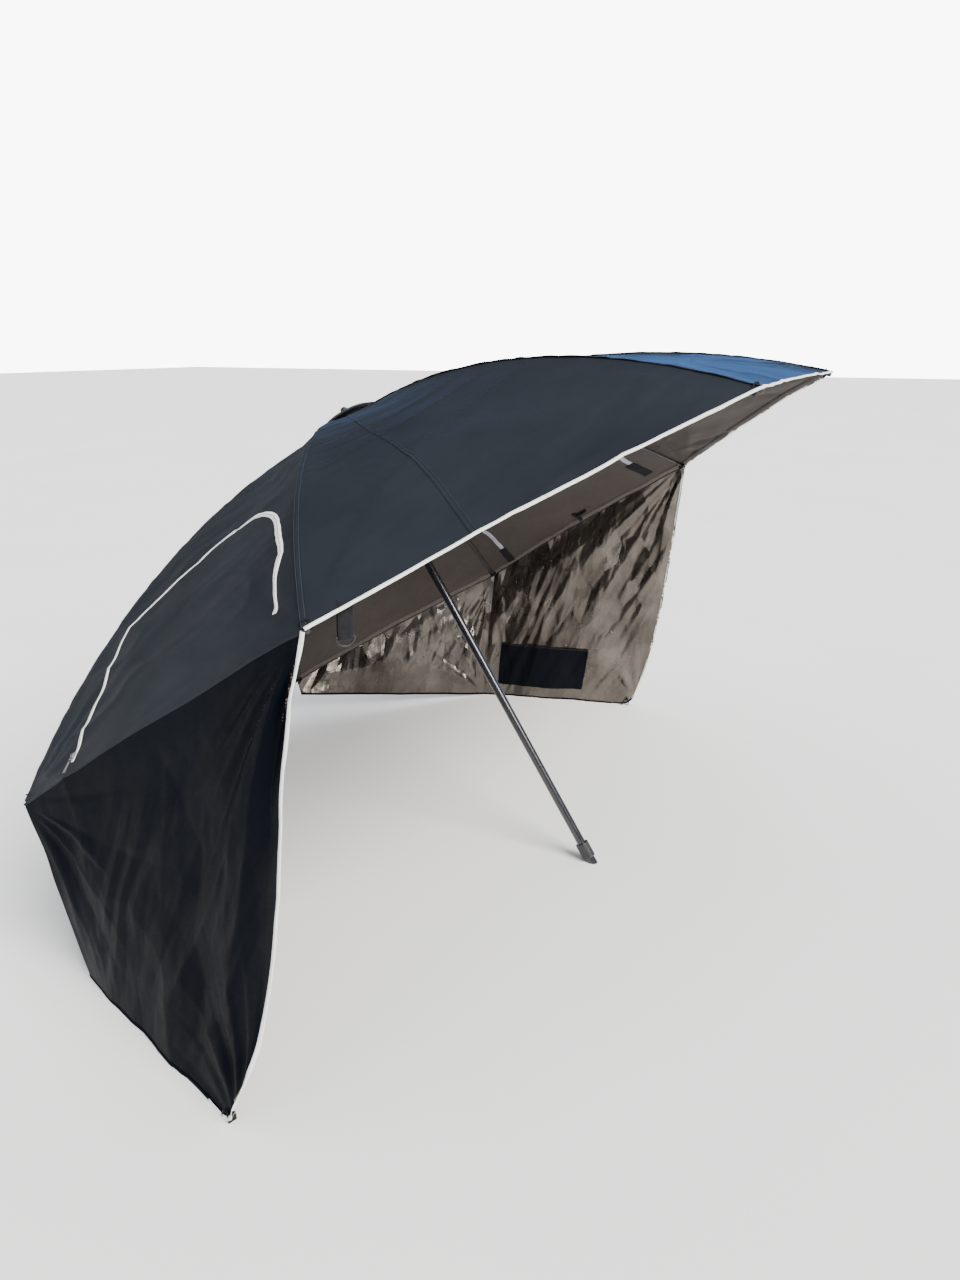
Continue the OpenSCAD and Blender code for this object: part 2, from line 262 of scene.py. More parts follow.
def curtain_point(k, s, v, over=0.0, plain=False):
    """Point on curtain k: s from 0 at rib k to 1 at its partner, v from 0 at the hem to 1 at the foot."""
    s, v = np.broadcast_arrays(np.asarray(s, float), np.asarray(v, float))
    j = partner(k)
    front = k in FRONT_CURTAINS
    far_side = k < 4.5
    gore = k if far_side else j
    w = s if far_side else 1 - s
    high = canopy_point(gore, np.ones_like(s), w) if not plain else (
        (1 - s)[..., None] * tip(k) + s[..., None] * tip(j))
    low = (1 - s)[..., None] * foot(k) + s[..., None] * foot(j)
    open_v = np.clip(v, 0, 1)
    base = (1 - v)[..., None] * high + v[..., None] * low
    along = (tip(j) - tip(k)) / np.linalg.norm(tip(j) - tip(k))
    drop = (foot(k) + foot(j) - tip(k) - tip(j)) / 2
    face = np.cross(along, drop)
    face /= np.linalg.norm(face)
    if np.dot(face, (tip(k) + tip(j)) / 2 - INSIDE) < 0:
        face = -face
    width = np.linalg.norm(tip(j) - tip(k))
    height = np.linalg.norm(high - low, axis=-1)
    x, y = s * width, v * height
    seed = 100 + 10 * (k if far_side else 9 - k)
    if front:
        bow = FRONT_BOW * np.sin(np.pi * open_v ** 1.6) * (1 - s) ** 2
        base = base - bow[..., None] * along
        near = np.clip(1 - x / FRONT_CORNER, 0, 1)
        lift = FRONT_CORNER * (1 - np.sqrt(np.clip(1 - near**2, 0, 1))) * open_v ** 8
        base = base + lift[..., None] * np.array([0.0, 0.0, 1.0])
    seam = (1 - s if front else s) * width
    held = np.clip(y / 0.10, 0, 1) * np.clip(seam / 0.05, 0, 1)
    held = held * (0.4 + 0.6 * np.clip((height - y) / 0.14, 0, 1))
    if front:
        held = held * np.clip(np.hypot(x, height - y) / 0.16, 0, 1)
    else:
        held = held * (0.3 + 0.7 * np.clip((width - x) / 0.10, 0, 1))
    fans = 0.0
    corners = ((0, 0, 0.020, 0.60), (width, 0, 0.013, 0.45), (0, height, 0.016, 0.34))
    for n, (cx, cy, depth, fade) in enumerate(corners):
        far = np.hypot(x - cx, y - cy) + 1e-6
        turn = np.arctan2(y - cy, x - cx)
        fans = fans + depth * np.exp(-far / fade) * np.clip(far / 0.12, 0, 1) * facets(
            turn * 5.5 + 0.5 * noise(x * 3, y * 3, seed + n), far * 2.6, seed + 20 + n)
    bend = 0.07 * layered(x * 2.7, y * 2.7, seed + 1, 2)
    crisp = 1.0 if far_side else 0.45
    loose = LARGE_FOLDS * facets((x + 0.45 * y + bend) * 6.5, (y - 0.2 * x + bend) * 3.8, seed + 2)
    loose += crisp * MIDDLE_FOLDS * facets((x - 0.5 * y + bend) * 16, (y + 0.3 * x - bend) * 7, seed + 3)
    loose += crisp * SMALL_FOLDS * facets((x + 0.3 * y - bend) * 38, (y + bend) * 17, seed + 4)
    hollow = -HOLLOW * np.sin(np.pi * open_v) * np.sin(np.pi * np.clip(s, 0, 1))
    relief = held * (fans + loose) + hollow + over
    sway = SEAM_SWAY * np.sin(np.pi * open_v) * np.exp(-((seam / 0.12) ** 2)) * noise(
        v * 4.5, np.full_like(v, 0.5), 150)
    shared = tip(3 if far_side else 6) - INSIDE
    shared[2] = 0
    base = base + sway[..., None] * shared / np.linalg.norm(shared)
    point = base + relief[..., None] * face
    point[..., 2] = np.maximum(point[..., 2], GROUND_GAP)
    return point


# ---------- mesh helpers
def add_mesh(name, points, faces, materials, indices=None, sharp=None, cloth=None):
    mesh = bpy.data.meshes.new(name)
    mesh.from_pydata([tuple(p) for p in points], [], [tuple(f) for f in faces])
    for material in materials:
        mesh.materials.append(material)
    mesh.polygons.foreach_set("use_smooth", [True] * len(mesh.polygons))
    if indices is not None:
        mesh.polygons.foreach_set("material_index", indices)
    if cloth is not None:
        attribute = mesh.attributes.new("cloth", "FLOAT_VECTOR", "POINT")
        attribute.data.foreach_set("vector", np.asarray(cloth, np.float32).ravel())
    mesh.update()
    if sharp is not None:
        flags = [tuple(sorted(edge.vertices)) in sharp for edge in mesh.edges]
        attribute = mesh.attributes.new("sharp_edge", "BOOLEAN", "EDGE")
        attribute.data.foreach_set("value", flags)
    obj = bpy.data.objects.new(name, mesh)
    bpy.context.scene.collection.objects.link(obj)
    return obj


def grid_normals(points):
    normal = np.cross(np.gradient(points, axis=1), np.gradient(points, axis=0))
    normal /= np.linalg.norm(normal, axis=-1, keepdims=True) + 1e-12
    outside = np.sum(normal * (points - INSIDE)) > 0
    return (normal if outside else -normal), outside


def shell(name, points, thickness, outside, inside, over=0.0):
    """Closed sheet of cloth: points are its outer skin, as rows and columns."""
    rows, cols = points.shape[:2]
    normal, facing = grid_normals(points)
    top = (points + over * normal).reshape(-1, 3)
    low = (points + (over - thickness) * normal).reshape(-1, 3)
    count = rows * cols
    index = np.arange(count).reshape(rows, cols)
    a, b = index[:-1, :-1].ravel(), index[:-1, 1:].ravel()
    c, d = index[1:, 1:].ravel(), index[1:, :-1].ravel()
    skin = np.stack([a, b, c, d] if facing else [a, d, c, b], axis=1)
    back = skin[:, ::-1] + count
    loop = np.concatenate([index[0, :-1], index[:-1, -1], index[-1, :0:-1], index[:0:-1, 0]])
    after = np.roll(loop, -1)
    wall = np.stack([loop, loop + count, after + count, after], axis=1)
    if not facing:
        wall = wall[:, ::-1]
    faces = np.concatenate([skin, back, wall])
    indices = [0] * len(skin) + [1] * len(back) + [0] * len(wall)
    sharp = set()
    for start, end in zip(loop.tolist(), after.tolist()):
        sharp.add((min(start, end), max(start, end)))
        sharp.add((min(start, end) + count, max(start, end) + count))
    across = np.linalg.norm(np.diff(points, axis=1, prepend=points[:, :1]), axis=-1).cumsum(axis=1)
    down = np.linalg.norm(np.diff(points, axis=0, prepend=points[:1]), axis=-1).cumsum(axis=0)
    middle = across[:, cols // 2][:, None]
    cloth = np.stack([across - middle, down, np.zeros_like(down)], axis=-1).reshape(-1, 3)
    return add_mesh(name, np.concatenate([top, low]), faces.tolist(), [outside, inside], indices,
                    sharp, np.concatenate([cloth, cloth]))


def section_by_share(section):
    """A section may be one shape, or a function of the share of the path."""
    return section if callable(section) else (lambda share: section)


def sweep(name, path, normals, section, materials, closed=False):
    """Carries a section, as (across, up) points, along a path with its up side on the normals."""
    path, normals = np.asarray(path, float), np.asarray(normals, float)
    ahead = np.gradient(path, axis=0)
    if closed:
        ahead = np.roll(path, -1, axis=0) - np.roll(path, 1, axis=0)
    ahead /= np.linalg.norm(ahead, axis=1, keepdims=True) + 1e-12
    side = np.cross(ahead, normals)
    side /= np.linalg.norm(side, axis=1, keepdims=True) + 1e-12
    up = np.cross(side, ahead)
    sections = section_by_share(section)
    rings = [[path[i] + x * side[i] + z * up[i] for x, z in sections(i / (len(path) - 1))]
             for i in range(len(path))]
    size = len(rings[0])
    points = [p for ring in rings for p in ring]
    steps = len(path) if closed else len(path) - 1
    faces = []
    for i in range(steps):
        n = (i + 1) % len(path)
        for j in range(size):
            m = (j + 1) % size
            faces.append((i * size + j, i * size + m, n * size + m, n * size + j))
    if not closed:
        faces.append(tuple(range(size))[::-1])
        faces.append(tuple((len(path) - 1) * size + j for j in range(size)))
    length = np.linalg.norm(np.diff(path, axis=0, prepend=path[:1]), axis=1).cumsum()
    cloth = [(x, length[i], 0.0) for i in range(len(path)) for x, z in sections(i / (len(path) - 1))]
    obj = add_mesh(name, points, faces, materials, cloth=cloth)
    obj.data.validate()
    return obj


def flat_section(width, thickness, low=0.0):
    """A strip with rounded edges."""
    half, cut = width / 2, min(width, thickness) * 0.35
    top = low + thickness
    return [(-half, low), (-half, top - cut), (-half + cut, top), (half - cut, top),
            (half, top - cut), (half, low)]


def round_section(radius, sides=10):
    return [(radius * math.cos(2 * math.pi * n / sides), radius * math.sin(2 * math.pi * n / sides))
            for n in range(sides)]


def through(keys, count):
    """Smooth curve of count points through a few key points."""
    keys = np.asarray(keys, float)
    padded = np.vstack([2 * keys[0] - keys[1], keys, 2 * keys[-1] - keys[-2]])
    out = []
    for f in np.linspace(0, len(keys) - 1, count):
        i = min(int(f), len(keys) - 2)
        x = f - i
        p0, p1, p2, p3 = padded[i:i + 4]
        out.append(0.5 * (2 * p1 + (p2 - p0) * x + (2 * p0 - 5 * p1 + 4 * p2 - p3) * x**2
                          + (3 * p1 - p0 - 3 * p2 + p3) * x**3))
    return np.array(out)


def join(name, objects):
    """Joins objects into the first, which takes the name."""
    bpy.ops.object.select_all(action="DESELECT")
    for obj in objects:
        obj.select_set(True)
    bpy.context.view_layer.objects.active = objects[0]
    if len(objects) > 1:
        bpy.ops.object.join()
    objects[0].name = name
    return objects[0]


# ---------- materials
def material(name, colour, roughness, metallic=0.0, coat=0.0, sheen=0.0, specular=0.5):
    made = bpy.data.materials.new(name)
    made.use_nodes = True
    shader = made.node_tree.nodes["Principled BSDF"]
    settings = {"Base Color": (*colour, 1), "Roughness": roughness, "Metallic": metallic,
                "Coat Weight": coat, "Coat Roughness": 0.25, "Sheen Weight": sheen,
                "Specular IOR Level": specular}
    for socket, value in settings.items():
        shader.inputs[socket].default_value = value
    return made, made.node_tree, shader


def node(tree, kind, **values):
    made = tree.nodes.new(kind)
    for key, value in values.items():
        if key in made.inputs:
            made.inputs[key].default_value = value
        else:
            setattr(made, key, value)
    return made


def shade(tree, shader, source, low, high):
    """Varies the base colour between two colours with a 0 to 1 source."""
    ramp = node(tree, "ShaderNodeValToRGB")
    for element, colour, position in zip(ramp.color_ramp.elements, (low, high), (0.3, 0.7)):
        element.color, element.position = (*colour, 1), position
    tree.links.new(source, ramp.inputs["Fac"])
    tree.links.new(ramp.outputs["Color"], shader.inputs["Base Color"])


def vary_roughness(tree, shader, source, low, high):
    spread = node(tree, "ShaderNodeMapRange")
    spread.inputs["To Min"].default_value = low
    spread.inputs["To Max"].default_value = high
    tree.links.new(source, spread.inputs["Value"])
    tree.links.new(spread.outputs["Result"], shader.inputs["Roughness"])


def bumps(tree, shader, layers):
    """Stacks bump layers: each is (height socket, strength, distance in metres)."""
    previous = None
    for height, strength, distance in layers:
        bump = node(tree, "ShaderNodeBump", Strength=strength, Distance=distance)
        tree.links.new(height, bump.inputs["Height"])
        if previous is not None:
            tree.links.new(previous, bump.inputs["Normal"])
        previous = bump.outputs["Normal"]
    tree.links.new(previous, shader.inputs["Normal"])


def place_vector(tree):
    return node(tree, "ShaderNodeTexCoord").outputs["Object"]


def cloth_vector(tree):
    return node(tree, "ShaderNodeAttribute", attribute_name="cloth").outputs["Vector"]


def noise_texture(tree, vector, scale, detail=4.0, roughness=0.55, distortion=0.0, stretch=None):
    if stretch:
        mapping = node(tree, "ShaderNodeMapping")
        mapping.inputs["Scale"].default_value = stretch
        tree.links.new(vector, mapping.inputs["Vector"])
        vector = mapping.outputs["Vector"]
    texture = node(tree, "ShaderNodeTexNoise", Scale=scale, Detail=detail, Roughness=roughness,
                   Distortion=distortion)
    tree.links.new(vector, texture.inputs["Vector"])
    return texture.outputs["Fac"]


def weave(tree, vector, pitch):
    """Over-and-under threads at the pitch, as the product of two waves."""
    waves = []
    for direction in ("X", "Y"):
        wave = node(tree, "ShaderNodeTexWave", wave_type="BANDS", bands_direction=direction,
                    Scale=math.pi / 10 / pitch)
        tree.links.new(vector, wave.inputs["Vector"])
        waves.append(wave.outputs["Fac"])
    product = node(tree, "ShaderNodeMath", operation="MULTIPLY")
    tree.links.new(waves[0], product.inputs[0])
    tree.links.new(waves[1], product.inputs[1])
    return product.outputs["Value"]


def crumple(tree, vector, scale):
    """Flat cells that each tilt their own way, as a height in metres for bump."""
    shape = node(tree, "ShaderNodeMapping")
    shape.inputs["Rotation"].default_value = (0, 0, 0.4)
    shape.inputs["Scale"].default_value = (1.0, 0.42, 1.0)
    tree.links.new(vector, shape.inputs["Vector"])
    vector = shape.outputs["Vector"]
    warp = node(tree, "ShaderNodeTexNoise", Scale=scale * 0.4, Detail=1.0)
    tree.links.new(vector, warp.inputs["Vector"])
    moved = node(tree, "ShaderNodeVectorMath", operation="MULTIPLY_ADD")
    moved.inputs[1].default_value = (0.9 / scale, 0.9 / scale, 0.0)
    tree.links.new(warp.outputs["Color"], moved.inputs[0])
    tree.links.new(vector, moved.inputs[2])
    cells = node(tree, "ShaderNodeTexVoronoi", Scale=scale)
    tree.links.new(moved.outputs["Vector"], cells.inputs["Vector"])
    offset = node(tree, "ShaderNodeVectorMath", operation="SUBTRACT")
    tree.links.new(moved.outputs["Vector"], offset.inputs[0])
    tree.links.new(cells.outputs["Position"], offset.inputs[1])
    tilt = node(tree, "ShaderNodeVectorMath", operation="SUBTRACT")
    tilt.inputs[1].default_value = (0.5, 0.5, 0.5)
    tree.links.new(cells.outputs["Color"], tilt.inputs[0])
    height = node(tree, "ShaderNodeVectorMath", operation="DOT_PRODUCT")
    tree.links.new(offset.outputs["Vector"], height.inputs[0])
    tree.links.new(tilt.outputs["Vector"], height.inputs[1])
    return height.outputs["Value"]


def fabric(name, low, high, roughness, crinkle, thread=0.0007, **shine):
    made, tree, shader = material(name, high, roughness, **shine)
    place, cloth = place_vector(tree), cloth_vector(tree)
    tone = noise_texture(tree, place, scale=2.6, detail=5.0)
    shade(tree, shader, tone, low, high)
    vary_roughness(tree, shader, noise_texture(tree, place, scale=9.0), roughness - 0.06, roughness + 0.08)
    fine = noise_texture(tree, cloth, scale=38.0, detail=6.0, roughness=0.6, distortion=0.6,
                         stretch=(0.55, 1.6, 1.0))
    bumps(tree, shader, [(fine, crinkle, 0.004), (weave(tree, cloth, thread), 0.10, 0.0002)])
    return made


def coated_lining(name, low, high, roughness, metallic, creased, **shine):
    made, tree, shader = material(name, high, roughness, metallic, **shine)
    place, cloth = place_vector(tree), cloth_vector(tree)
    shade(tree, shader, noise_texture(tree, place, scale=5.0, detail=6.0, roughness=0.6), low, high)
    vary_roughness(tree, shader, noise_texture(tree, place, scale=14.0), roughness - 0.08, roughness + 0.12)
    bumps(tree, shader, [(crumple(tree, cloth, 15.0), creased, 0.70),
                         (crumple(tree, cloth, 40.0), creased * 0.8, 0.40),
                         (weave(tree, cloth, 0.0007), 0.08, 0.0002)])
    return made


def webbing(name, low, high, pitch=0.0016, sheen=0.15):
    made, tree, shader = material(name, high, 0.75, sheen=sheen, specular=0.2)
    cloth = cloth_vector(tree)
    shade(tree, shader, noise_texture(tree, place_vector(tree), scale=120.0), low, high)
    bumps(tree, shader, [(weave(tree, cloth, pitch), 0.6, 0.0006)])
    return made


def hard_surface(name, low, high, roughness, tone, grain, pits, below, above, **finish):
    """A hard surface. tone mottles its colour and grain its roughness, and pits are a fine bump."""
    made, tree, shader = material(name, high, roughness, **finish)
    place = place_vector(tree)
    pit_scale, pit_detail, strength = pits
    shade(tree, shader, noise_texture(tree, place, *tone), low, high)
    vary_roughness(tree, shader, noise_texture(tree, place, *grain), roughness - below, roughness + above)
    bumps(tree, shader, [(noise_texture(tree, place, pit_scale, pit_detail), strength, 0.0003)])
    return made


def moulded(name, colour, roughness, coat=0.0):
    scuffed = tuple(c * 1.5 + 0.006 for c in colour)
    return hard_surface(name, colour, scuffed, roughness, tone=(45.0, 6.0, 0.65), grain=(16.0,),
                        pits=(700.0, 3.0, 0.12), below=0.05, above=0.12, coat=coat)


def painted_tube(name, colour, roughness):
    worn = tuple(c * 1.6 + 0.004 for c in colour)
    return hard_surface(name, colour, worn, roughness, tone=(30.0, 6.0), grain=(60.0, 8.0),
                        pits=(420.0, 2.0, 0.06), below=0.04, above=0.1, coat=0.6)


def bare_metal(name, colour, roughness):
    dull = tuple(c * 0.7 for c in colour)
    return hard_surface(name, dull, colour, roughness, tone=(60.0, 6.0), grain=(90.0,),
                        pits=(300.0, 4.0, 0.15), below=0.08, above=0.12, metallic=1.0)


canopy_outside = fabric("canopy_outside", (0.0095, 0.0120, 0.0165), (0.0150, 0.0185, 0.0245),
                        roughness=0.62, crinkle=0.10, specular=0.15)
canopy_inside = fabric("canopy_inside", (0.043, 0.034, 0.031), (0.064, 0.054, 0.049),
                       roughness=0.62, crinkle=0.16, specular=0.15)
curtain_outside = fabric("curtain_outside", (0.0006, 0.0014, 0.0032), (0.0014, 0.0027, 0.0058),
                         roughness=0.50, crinkle=0.2, specular=0.035)
curtain_inside = coated_lining("curtain_inside", (0.075, 0.063, 0.054), (0.175, 0.155, 0.135),
                               roughness=0.27, metallic=0.88, creased=0.85)
black_cloth = fabric("black_cloth", (0.0016, 0.0024, 0.0045), (0.0036, 0.0046, 0.0075),
                     roughness=0.6, crinkle=0.3, thread=0.001, specular=0.06)
black_webbing = webbing("black_webbing", (0.003, 0.003, 0.004), (0.010, 0.010, 0.012), sheen=0.02)
white_tape = webbing("white_tape", (0.78, 0.79, 0.75), (0.88, 0.88, 0.84), 0.0012)
inner_tape = webbing("inner_tape", (0.30, 0.28, 0.36), (0.46, 0.44, 0.52), 0.0012)
hem_tape = webbing("hem_tape", (0.08, 0.064, 0.056), (0.13, 0.105, 0.093), 0.0012, sheen=0.05)
vent_mesh = webbing("vent_mesh", (0.004, 0.004, 0.005), (0.011, 0.011, 0.013), 0.0022)
zinc = bare_metal("zinc", (0.24, 0.24, 0.25), 0.34)
thread = webbing("thread", (0.030, 0.034, 0.042), (0.045, 0.050, 0.060), 0.0009, sheen=0.02)
spike_metal = bare_metal("spike_metal", (0.60, 0.61, 0.62), 0.4)
plastic = moulded("plastic", (0.012, 0.012, 0.014), 0.42)
ring_steel = moulded("ring_steel", (0.004, 0.004, 0.005), 0.5)
fibreglass = moulded("fibreglass", (0.010, 0.010, 0.011), 0.3, coat=0.5)
pole_paint = painted_tube("pole_paint", (0.006, 0.006, 0.008), 0.16)

NODE_MATERIALS = (
    ("ground_spike", spike_metal), ("lower_tube", pole_paint), ("upper_pole", pole_paint),
    ("strut_", pole_paint), ("rib_tip_", plastic), ("rib_", fibreglass), ("lock_collar", plastic),
    ("crown_", plastic), ("runner", plastic),
)
for name, obj in frame["nodes"].items():
    for start, chosen in NODE_MATERIALS:
        if name.startswith(start):
            obj.data.materials.clear()
            obj.data.materials.append(chosen)
            break


# ---------- canopy
def sew(obj, k):
    """The piece is sewn to the fabric over rib k: it rides on the rib."""
    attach(obj, f"rib_{k}")
    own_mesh(obj)
    return obj


def canopy_strip(k, ts, shares):
    """Points over rib k, shares from -0.5 in the gore before it to 0.5 in its own gore."""
    before, own = shares[shares < 0], shares[shares >= 0]
    t = ts[:, None]
    return np.concatenate([canopy_point(k - 1, t, (1 + before)[None, :]),
                           canopy_point(k, t, own[None, :])], axis=1)


def canopy_cloths():
    ts = np.linspace(CANOPY_START, 1, 170)
    shares = np.linspace(-0.5, 0.5, 83)
    for k in RIBS:
        points = canopy_strip(k, ts, shares)
        cloth = shell(f"canopy_cloth_{k}", points, CLOTH, canopy_outside, canopy_inside)
        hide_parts(f"canopy_{k}")
        sew(cloth, k)


def on_canopy(gore, keys, count, over=0.0):
    """A smooth line on a gore through (t, w) keys, with the fabric's normals."""
    line = through(keys, count)
    t, w = line[:, 0], line[:, 1]
    here = canopy_point(gore, t, w)
    step = 0.004
    down = canopy_point(gore, t + step, w) - canopy_point(gore, t - step, w)
    across = canopy_point(gore, t, w + step) - canopy_point(gore, t, w - step)
    normal = np.cross(across, down)
    normal /= np.linalg.norm(normal, axis=1, keepdims=True)
    if np.sum(normal * (here - INSIDE)) < 0:
        normal = -normal
    return here + over * normal, normal, w


def sewn_strip(name, gore, keys, count, section, chosen, over=0.0, inner=False):
    """Sweeps a strip along a line on a gore, split where the two ribs' fabric meets."""
    path, normal, w = on_canopy(gore, keys, count, over)
    if inner:
        normal = -normal
    whole = section_by_share(section)
    start = 0
    made = []
    side = w < 0.5
    for i in range(1, count + 1):
        if i < count and side[i] == side[start]:
            continue
        end = min(i + 1, count)
        if end - start > 2:
            low, high = start / (count - 1), (end - 1) / (count - 1)
            piece = sweep(f"{name}_{len(made) + 1}", path[start:end], normal[start:end],
                          lambda share, a=low, b=high: whole(a + (b - a) * share), [chosen])
            rib = gore if side[start] else next_rib(gore)
            made.append(sew(piece, rib))
        start = i
    return made


def rib_seams():
    """A folded seam over each rib, with a line of stitches at each side of it."""
    stitch_offset = 0.0042
    for k in RIBS:
        keys = [(t, 0.0) for t in np.linspace(0.07, 0.995, 9)]
        path, normal, _ = on_canopy(k, keys, 150)
        seam = sweep(f"rib_seam_{k}", path, normal,
                     flat_section(width=0.011, thickness=0.0010, low=-0.0003), [canopy_outside])
        sew(seam, k)
        threads = []
        for side in (-1, 1):
            across = np.cross(np.gradient(path, axis=0), normal)
            across /= np.linalg.norm(across, axis=1, keepdims=True)
            threads.append(sweep("stitches", path + side * stitch_offset * across + 0.0008 * normal, normal,
                                 round_section(0.00045, sides=5), [thread]))
        sew(join(f"rib_stitches_{k}", threads), k)


def panel_seams():
    """A seam runs down from the crown across each gore beside the front one."""
    line = ((0.10, 0.30), (0.25, 0.262), (0.465, 0.295), (0.635, 0.339), (0.791, 0.352), (0.998, 0.344))
    stitch_offset = 0.035 * 0.3
    for gore, mirror in ((7, False), (1, True)):
        keys = [(t, 1 - w) for t, w in line] if mirror else line
        sewn_strip(f"panel_seam_{gore}", gore, keys, 140,
                   flat_section(width=0.0065, thickness=0.0013, low=-0.0003), canopy_outside)
        beside = [(t, w + (-stitch_offset if mirror else stitch_offset)) for t, w in keys]
        sewn_strip(f"panel_stitches_{gore}", gore, beside, 140, round_section(0.0005, sides=5),
                   thread, over=0.0004)


def hem_piping():
    """White piping along the open front's hems, and a dark binding along the others."""
    piping_t, band_t = 0.9972, 0.989
    for gore in RIBS:
        front = gore in FRONT_GORES
        keys = [(piping_t if front else 1.0, w) for w in np.linspace(0.0, 1.0, 9)]
        if front:
            sewn_strip(f"hem_piping_{gore}", gore, keys, 121,
                       flat_section(width=0.0078, thickness=0.0030, low=-0.0008), white_tape)
        else:
            sewn_strip(f"hem_binding_{gore}", gore, keys, 121, round_section(0.0022), canopy_outside,
                       over=-0.0004)
        keys = [(band_t, w) for w in np.linspace(0.004, 0.996, 9)]
        sewn_strip(f"hem_band_{gore}", gore, keys, 121,
                   flat_section(width=0.018, thickness=0.0007, low=0.0009),
                   canopy_inside if front else hem_tape, over=-CLOTH, inner=True)


# ---------- windows
TEETH_COUNT = 420


def window_keys(rear, front):
    """The arch of a window's zip on gore 6, from the rear leg's foot over the top to the front leg."""
    return [(0.975, rear), (0.84, rear - 0.005), (0.70, rear - 0.05), (0.638, rear + 0.16), (0.602, 0.50),
            (0.612, 0.72), (0.675, front - 0.07), (0.79, front), (0.87, front - 0.01),
            (0.94, front - 0.018)]


def zip_tape(share):
    """The tape is narrow up the rear leg and wider where it turns over the top."""
    width = 0.008 + 0.007 * math.exp(-((share - 0.72) / 0.16) ** 2) + 0.003 * math.exp(-(share / 0.14) ** 2)
    width *= 1 - 0.8 * math.exp(-((share - 0.50) / 0.006) ** 2)
    return flat_section(width, 0.0012, 0.0001)


def zip_teeth(share):
    """Every second of the teeth's 420 sections stands higher."""
    raised = 0.0003 * (int(share * (TEETH_COUNT - 1)) % 2)
    return flat_section(0.0022, 0.0006 + raised, -0.0002)


def windows():
    """Each window's zip, teeth, lining tape and end patches, and the strap that ties its flap."""
    lining_width = 0.017
    strap_w = 0.49
    for gore, mirror, rear, front in ((NEAR_WINDOW, False, 0.18, 0.94), (FAR_WINDOW, True, 0.12, 0.90)):
        label = "far" if mirror else "near"
        keys = window_keys(rear, front)
        if mirror:
            keys = [(t, 1 - w) for t, w in keys]
        sewn_strip(f"window_zip_{label}", gore, keys, 260, zip_tape, white_tape)
        sewn_strip(f"window_teeth_{label}", gore, keys, TEETH_COUNT, zip_teeth, inner_tape, over=0.0011)
        sewn_strip(f"window_lining_{label}", gore, keys, 260,
                   flat_section(width=lining_width, thickness=0.0009, low=0.0001), inner_tape,
                   over=-CLOTH, inner=True)
        for leg, (t, w) in enumerate((keys[0], keys[-1])):
            low = min(t + 0.02, 0.985)
            half = lining_width / gore_width(profile(t)[0])
            points = canopy_point(gore, np.linspace(t - 0.055, low, 40)[:, None],
                                  np.linspace(w - half, w + half, 26)[None, :], -(CLOTH + 0.0022))
            patch = shell(f"window_patch_{label}_{leg + 1}", points, 0.0012, black_webbing, black_webbing)
            sew(patch, gore if w < 0.5 else next_rib(gore))
        strap = [(0.945, strap_w), (0.970, strap_w), (0.992, strap_w)]
        sewn_strip(f"tie_strap_{label}", gore, strap, 24,
                   flat_section(width=0.016, thickness=0.0030, low=0.0006), black_webbing,
                   over=-CLOTH, inner=True)
        toggle = [(0.957, strap_w - 0.055), (0.960, strap_w - 0.03), (0.957, strap_w - 0.005)]
        sewn_strip(f"tie_toggle_{label}", gore, toggle, 24, round_section(0.0055, sides=12), black_webbing,
                   over=-0.009, inner=True)


# ---------- vents
def vent_hoods():
    """Two hoods of black fabric over mesh vents. Each half is sewn to its own rib's fabric."""
    first_w, last_w, first_t, last_t = 0.16, 0.84, 0.12, 0.325
    for gore in (5, 1):
        halves = ((gore, np.linspace(first_w, 0.5, 15)), (gore + 1, np.linspace(0.5, last_w, 15)))
        for rib, shares in halves:
            ts = np.linspace(first_t, last_t, 34)
            net = canopy_point(gore, ts[:, None], shares[None, :], 0.0012)
            patch = shell(f"vent_net_{rib}", net, 0.0006, vent_mesh, vent_mesh)
            sew(patch, rib)
            rise = (ts - ts[0]) / (ts[-1] - ts[0])
            arch = np.sin(np.pi * (shares - first_w) / 0.68)
            waves = 0.0025 * np.sin(shares * 46 + 3 * rise[:, None]) * rise[:, None]
            lift = 0.003 + 0.024 * rise[:, None] ** 0.8 * arch[None, :] + waves
            top = canopy_point(gore, ts[:, None], shares[None, :], lift)
            hood = shell(f"vent_cloth_{rib}", top, 0.0012, black_cloth, black_cloth)
            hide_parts(f"vent_hood_{rib}")
            sew(hood, rib)
            edge = top[-1]
            normal = np.tile(gore_normal(gore, np.array([0.32])), (len(edge), 1))
            sew(sweep(f"vent_binding_{rib}", edge, normal, round_section(0.003), [black_webbing]), rib)
        tag = [(0.215, 0.90), (0.26, 0.885), (0.305, 0.875)]
        sewn_strip(f"vent_zip_{gore}", gore, tag, 20, flat_section(width=0.006, thickness=0.0016), white_tape)


# ---------- curtains
def hang(obj, k):
    """The piece is part of curtain k: it turns with it."""
    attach(obj, f"curtain_{k}")
    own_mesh(obj)
    return obj


def curtain_normals(k, s, v):
    step = 0.01
    across = curtain_point(k, s + step, v) - curtain_point(k, s - step, v)
    down = curtain_point(k, s, v + step) - curtain_point(k, s, v - step)
    normal = np.cross(across, down)
    normal /= np.linalg.norm(normal, axis=-1, keepdims=True) + 1e-12
    if np.sum(normal * (curtain_point(k, s, v) - INSIDE)) < 0:
        normal = -normal
    return normal


